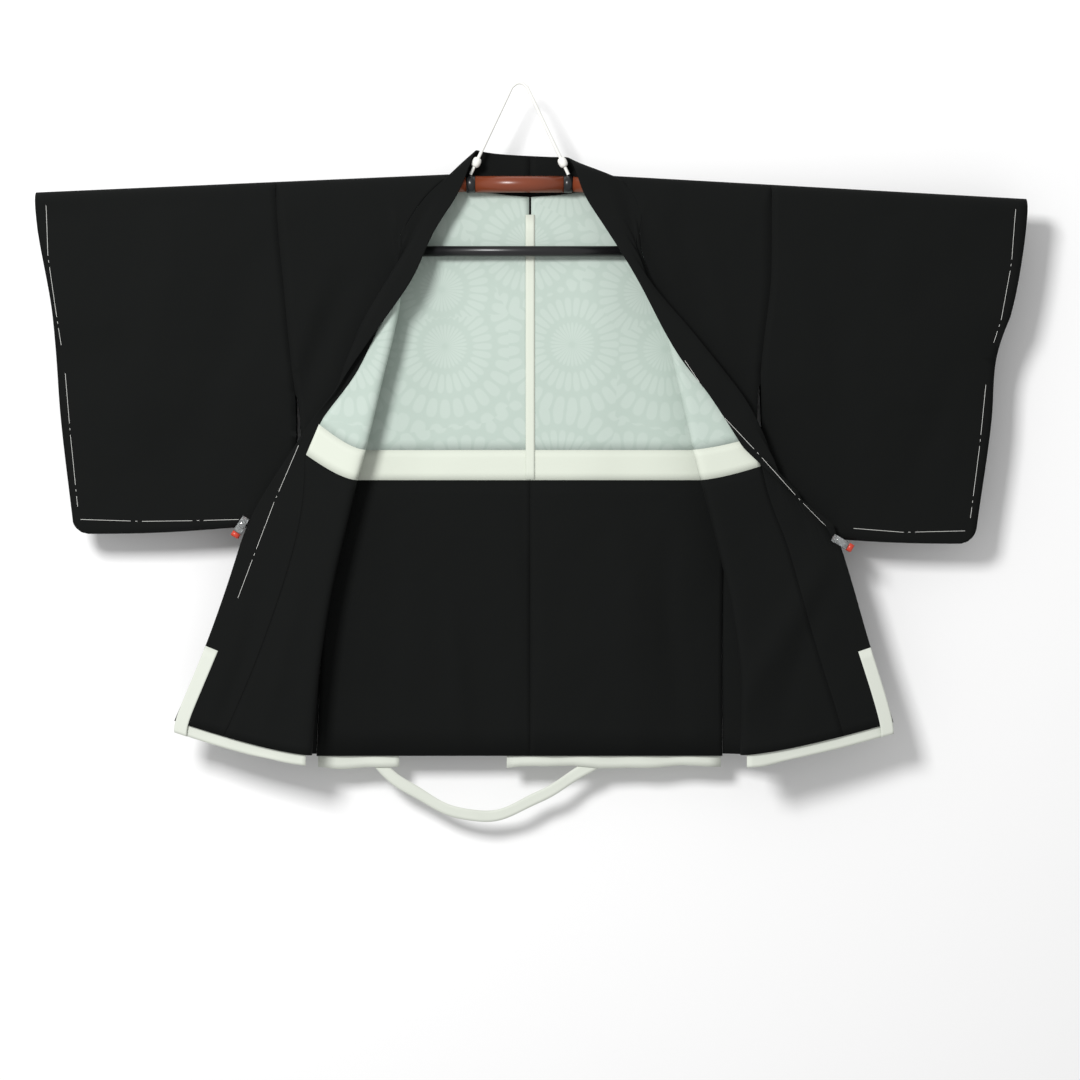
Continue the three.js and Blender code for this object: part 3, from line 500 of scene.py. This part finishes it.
cord = {
    "middle": -1.0,
    "footOut": 64.5,
    "footZ": -123.3,
    "shoulderOut": 10.0,
    "shoulderZ": -8.2,
    "bendOut": 4.5,
    "bendZ": -3.6,
    "topZ": -2.2,
    "diameter": 4.4,
}
curve = bpy.data.curves.new("hanging_cord", "CURVE")
curve.dimensions = "3D"
curve.bevel_depth = cord["diameter"] / 2 * mm
curve.bevel_resolution = 4
curve.use_fill_caps = True
legOut = np.linspace(cord["footOut"], cord["shoulderOut"], 9)
legZ = np.linspace(cord["footZ"], cord["shoulderZ"], 9)
leg = list(zip(legOut, legZ)) + [(cord["bendOut"], cord["bendZ"])]
route = [(-out, z) for out, z in leg] + [(0, cord["topZ"])] + leg[::-1]
line = curve.splines.new("POLY")
line.points.add(len(route) - 1)
for point, (out, z) in zip(line.points, route):
    point.co = ((cord["middle"] + out) * mm, 0, z * mm, 1)
hangingCord = bpy.data.objects.new("hanging_cord_piece", curve)
bpy.context.collection.objects.link(hangingCord)
curve.materials.append(finishes["white_cord"])
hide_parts("hanging_cord")
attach(hangingCord, "root")

# ---- Basting threads: long stitches and dots in turn, laid on the cloth just inside its edges ----

threads = {"long": 66.0, "dot": 3.0, "gap": 6.0, "radius": 0.24, "sides": 6, "proud": 0.3}
frontNames = [n for n in pieces if n.split("_")[0] in ("sleeve", "collar", "body")]
vertices, faces = [], []
for name in frontNames:
    base = len(vertices)
    vertices += [v.co.copy() for v in pieces[name].data.vertices]
    faces += [[base + k for k in p.vertices] for p in pieces[name].data.polygons]
surface = BVHTree.FromPolygons(vertices, faces)
threadLines = [
    # x, z of each corner, in millimetres
    [(-622, -165), (-620, -230), (-610, -300), (-603, -348)],
    [(-598, -385), (-591, -470), (-582, -560)],
    [(-578, -577), (-480, -580), (-370, -577)],
    [(650, -170), (646, -230), (636, -300), (622, -345)],
    [(612, -400), (604, -480), (592, -575)],
    [(585, -592), (500, -594), (430, -588)],
    [(-160, -300), (-210, -380), (-240, -425)],
    [(-290, -480), (-325, -560), (-370, -680)],
    [(215, -370), (262, -440), (310, -490), (360, -545), (400, -585)],
]
sides = threads["sides"]
threadPoints, threadFaces = [], []


def stitch(ends):
    places = []
    for share in np.linspace(0, 1, 7):
        x, z = ends[0] + (ends[1] - ends[0]) * share
        hit = surface.ray_cast(Vector((x * mm, -0.3, z * mm)), Vector((0, 1, 0)))[0]
        if hit is None:
            return
        places.append(np.array([hit.x, hit.y - threads["proud"] * mm, hit.z]))
    heading = (places[-1] - places[0]) / max(1e-9, np.linalg.norm(places[-1] - places[0]))
    sideways = np.cross(heading, (0, 1, 0))
    sideways /= np.linalg.norm(sideways)
    base = len(threadPoints)
    for place in places:
        for k in range(sides):
            turn = 2 * math.pi * k / sides
            outward = sideways * math.cos(turn) + np.array((0, 1, 0)) * math.sin(turn)
            threadPoints.append(place + outward * threads["radius"] * mm)
    for row in range(len(places) - 1):
        for k in range(sides):
            a, b = base + row * sides + k, base + row * sides + (k + 1) % sides
            threadFaces.append((a, b, b + sides, a + sides))
    threadFaces.append(tuple(base + k for k in range(sides))[::-1])
    threadFaces.append(tuple(base + (len(places) - 1) * sides + k for k in range(sides)))


for bends in threadLines:
    bends = np.array(bends, float)
    steps = np.linalg.norm(np.diff(bends, axis=0), axis=1)
    reach = np.concatenate(([0], np.cumsum(steps)))


    def at(s):
        return np.array([np.interp(s, reach, bends[:, k]) for k in (0, 1)])

    s, isLong = 0.0, True
    while s < reach[-1] - threads["dot"]:
        end = min(reach[-1], s + threads["long" if isLong else "dot"])
        stitch((at(s), at(end)))
        s, isLong = end + threads["gap"], not isLong
threadPiece = meshObject("basting_threads", threadPoints, threadFaces)
threadPiece.data.materials.append(finishes["white_cord"])
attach(threadPiece, "root")
print("threads made")

# ---- What each cloth piece was cut from ----

cuts = {
    # width, length in metres; share of that rectangle that is cloth
    "body": (0.32, 1.50, 0.95, "hung"),
    "collar": (0.060, 0.93, 1.0, "hung"),
    "gusset": (0.07, 0.50, 0.72, "hung"),
    "sleeve": (0.33, 0.90, 1.0, "hung"),
    "lining": (0.30, 0.74, 0.9, "hung"),
}
extras = {"lining": ("band_front", "band_back"), "body": ("hem_strip", "hem_strip_back")}
for stem, (width, length, share, held) in cuts.items():
    for side in ("left", "right"):
        along = [pieces[f"{extra}_{side}"] for extra in extras.get(stem, ())]
